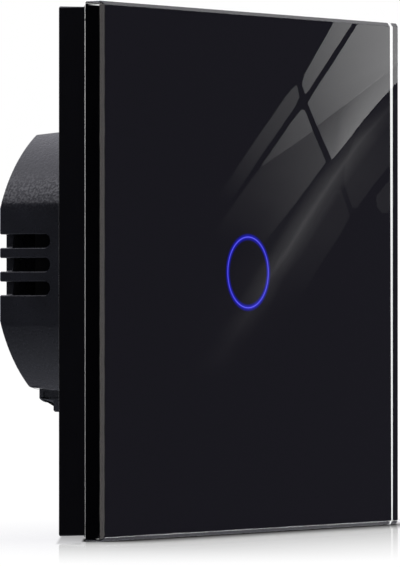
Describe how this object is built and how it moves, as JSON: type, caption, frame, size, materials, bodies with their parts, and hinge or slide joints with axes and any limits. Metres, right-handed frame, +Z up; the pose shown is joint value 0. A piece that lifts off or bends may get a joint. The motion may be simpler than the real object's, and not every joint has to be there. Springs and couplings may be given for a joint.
{
  "type": "touch light switch",
  "caption": "Square black glass touch light switch for a wall box, with a blue lit ring, a clip-on frame, a steel yoke and a vented rear housing with screw terminals.",
  "frame": {"origin": "middle of the yoke's rear face, on the wall plane, halfway between the two fixing slots", "axes": "+Y into the wall, -Y out of the glass front, +Z up, +X to the right as seen from the front"},
  "size_m": [0.086, 0.035, 0.086],
  "materials": {
    "panel_glass": "polished clear glass",
    "black_ink": "black print",
    "ring_blue": "lit blue",
    "tape": "foam tape",
    "frame_plastic": "fine spark grain",
    "housing_plastic": "satin with fine grain",
    "carrier_plastic": "satin",
    "terminal_plastic": "satin",
    "zinc_steel": "galvanised",
    "screw_steel": "nickel plated",
    "terminal_steel": "zinc plated",
    "spacer_nylon": "natural nylon",
    "guide_plastic": "milky clear",
    "spring_wire": "bright wire",
    "board_green": "solder mask",
    "chip_black": "moulded epoxy",
    "led_lens": "clear lens",
    "connector_black": "satin",
    "film_box": "moulded box",
    "capacitor_sleeve": "shrink sleeve",
    "varistor_coat": "dipped epoxy",
    "ferrite": "sintered",
    "fuse_body": "moulded box",
    "relay_blue": "moulded case",
    "relay_black": "moulded base",
    "bobbin_white": "moulded",
    "copper_wire": "enamelled wire",
    "soft_iron": "nickel plated iron",
    "contact_brass": "rolled brass"
  },
  "bodies": {
    "base": {"mounting_plate": "zinc_steel", "carrier": "carrier_plastic", "rear_housing": "housing_plastic", "housing_screws": "screw_steel", "front_spacers": "spacer_nylon", "rear_spacers": "spacer_nylon", "light_guide": "guide_plastic", "touch_spring": "spring_wire", "touch_board": "board_green", "touch_chip": "chip_black", "status_leds": "led_lens", "board_connector": "connector_black", "power_board": "board_green", "power_chip": "chip_black", "rectifier": "chip_black", "film_capacitor": "film_box", "electrolytic_capacitor": "capacitor_sleeve", "varistor": "varistor_coat", "choke": "ferrite", "fuse": "fuse_body", "relay_base": "relay_black", "relay_case": "relay_blue", "relay_bobbin": "bobbin_white", "relay_winding": "copper_wire", "relay_core": "soft_iron", "relay_yoke": "soft_iron", "relay_fixed_contact": "contact_brass", "terminal_block": "terminal_plastic", "terminal_bars": "contact_brass"},
    "front_panel": {"glass_panel": "panel_glass", "back_print": "black_ink", "ring_window": "ring_blue", "adhesive_pads": "tape", "panel_frame": "frame_plastic"},
    "armature": {"relay_armature": "soft_iron", "relay_moving_contact": "contact_brass"},
    "screw_left": {"terminal_screw_left": "terminal_steel"},
    "screw_middle": {"terminal_screw_middle": "terminal_steel"},
    "screw_right": {"terminal_screw_right": "terminal_steel"},
    "cage_left": {"terminal_cage_left": "terminal_steel"},
    "cage_middle": {"terminal_cage_middle": "terminal_steel"},
    "cage_right": {"terminal_cage_right": "terminal_steel"}
  },
  "joints": [
    {"name": "panel_pull", "type": "slide", "parent": "base", "child": "front_panel", "axis": [0, -1, 0], "range_m": [0, 0.03]},
    {"name": "armature_tip", "type": "hinge", "parent": "base", "child": "armature", "pos_m": [-0.0169, 0.02, 0.0015], "axis": [0, 0, -1], "range_deg": [0, 3], "stiffness_Nm_per_rad": 0.05, "springref_deg": -5.73},
    {"name": "screw_left_turn", "type": "hinge", "parent": "base", "child": "screw_left", "pos_m": [-0.009, 0.02, -0.0161], "axis": [0, -1, 0], "range_deg": [0, 1800]},
    {"name": "screw_middle_turn", "type": "hinge", "parent": "base", "child": "screw_middle", "pos_m": [0, 0.02, -0.0161], "axis": [0, -1, 0], "range_deg": [0, 1800]},
    {"name": "screw_right_turn", "type": "hinge", "parent": "base", "child": "screw_right", "pos_m": [0.009, 0.02, -0.0161], "axis": [0, -1, 0], "range_deg": [0, 1800]},
    {"name": "cage_left_rise", "type": "slide", "parent": "base", "child": "cage_left", "axis": [0, 1, 0], "range_m": [0, 0.0025]},
    {"name": "cage_middle_rise", "type": "slide", "parent": "base", "child": "cage_middle", "axis": [0, 1, 0], "range_m": [0, 0.0025]},
    {"name": "cage_right_rise", "type": "slide", "parent": "base", "child": "cage_right", "axis": [0, 1, 0], "range_m": [0, 0.0025]}
  ],
  "couplings": [
    {"joint": "screw_left_turn", "follows": "cage_left_rise", "rad_per_m": 12566},
    {"joint": "screw_middle_turn", "follows": "cage_middle_rise", "rad_per_m": 12566},
    {"joint": "screw_right_turn", "follows": "cage_right_rise", "rad_per_m": 12566}
  ]
}
